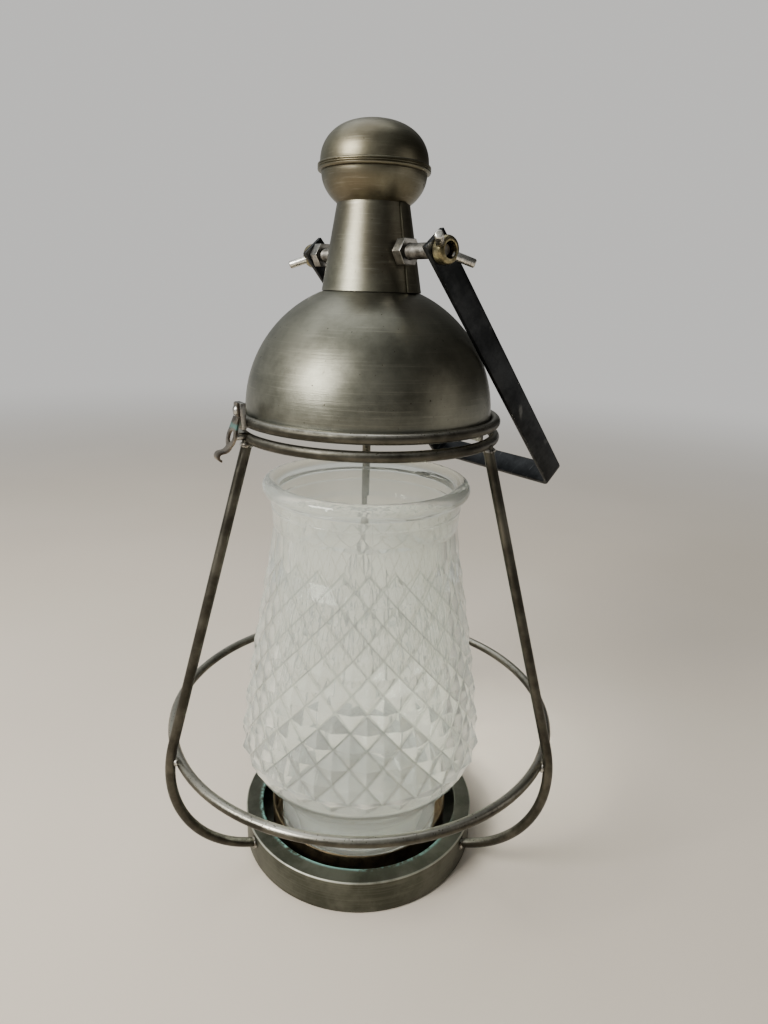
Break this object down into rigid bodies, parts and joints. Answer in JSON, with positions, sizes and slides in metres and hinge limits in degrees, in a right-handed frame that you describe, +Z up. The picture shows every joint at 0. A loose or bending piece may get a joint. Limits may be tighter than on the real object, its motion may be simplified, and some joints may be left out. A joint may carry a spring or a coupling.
{
  "type": "hanging jar lantern",
  "caption": "Hanging lantern: pressed-glass jar in a round pan, bent rod frame with a hoop, and a hinged, latched dome lid with chimney, finial and swinging strip bail.",
  "frame": {"origin": "centre of the pan underside, on the surface the lantern stands on", "axes": "+Z up along the lantern axis, +X towards the lid hinge, -X towards the latch and its leg"},
  "size_m": [0.2607, 0.2544, 0.4535],
  "materials": {
    "dull_steel": "satin",
    "rod_steel": "satin",
    "old_brass": "brushed",
    "brown_brass": "satin",
    "yellow_brass": "satin",
    "zinc": "satin",
    "spring_strip": "satin",
    "black_strip": "matte",
    "pressed_glass": "gloss"
  },
  "bodies": {
    "stand": {"base_floor": "dull_steel", "base_shell": "dull_steel", "jar_dish": "brown_brass", "leg_latch_side": "rod_steel", "leg_front": "rod_steel", "leg_rear": "rod_steel", "hoop": "rod_steel", "lower_ring": "rod_steel", "hinge_lower_leaf": "zinc", "hinge_pin": "zinc", "latch_stud": "zinc"},
    "jar": {"glass_jar": "pressed_glass"},
    "lid": {"upper_ring": "rod_steel", "dome": "old_brass", "chimney": "old_brass", "finial_bowl": "old_brass", "finial_flange": "old_brass", "finial_cap": "old_brass", "hinge_upper_leaf": "zinc", "latch_lug": "dull_steel", "latch_root": "spring_strip", "latch_rivet": "zinc", "pivot_rod": "zinc", "chimney_nuts": "zinc", "bail_nut": "zinc"},
    "latch": {"latch_strip": "spring_strip"},
    "bail": {"bail": "black_strip"},
    "wing_nut_a": {"wing_nut_front": "yellow_brass"},
    "wing_nut_b": {"wing_nut_rear": "yellow_brass"}
  },
  "joints": [
    {"name": "lid_hinge", "type": "hinge", "parent": "stand", "child": "lid", "pos_m": [0.0806, 0, 0.294], "axis": [0, 1, 0], "range_deg": [0, 50]},
    {"name": "bail_swing", "type": "hinge", "parent": "lid", "child": "bail", "pos_m": [0, 0, 0.3881], "axis": [0.1219, -0.9925, 0], "range_deg": [0, 278.6]},
    {"name": "jar_lift", "type": "slide", "parent": "stand", "child": "jar", "axis": [0, 0, 1], "range_m": [0, 0.05]},
    {"name": "latch_flex", "type": "hinge", "parent": "lid", "child": "latch", "pos_m": [-0.0816, 0, 0.302], "axis": [0, 1, 0], "range_deg": [-14, 8], "stiffness_Nm_per_rad": 0.05},
    {"name": "wing_nut_a_turn", "type": "hinge", "parent": "lid", "child": "wing_nut_a", "pos_m": [0, 0, 0.3881], "axis": [0.1219, -0.9925, 0], "continuous": true},
    {"name": "wing_nut_b_turn", "type": "hinge", "parent": "lid", "child": "wing_nut_b", "pos_m": [0, 0, 0.3881], "axis": [0.1219, -0.9925, 0], "continuous": true}
  ]
}
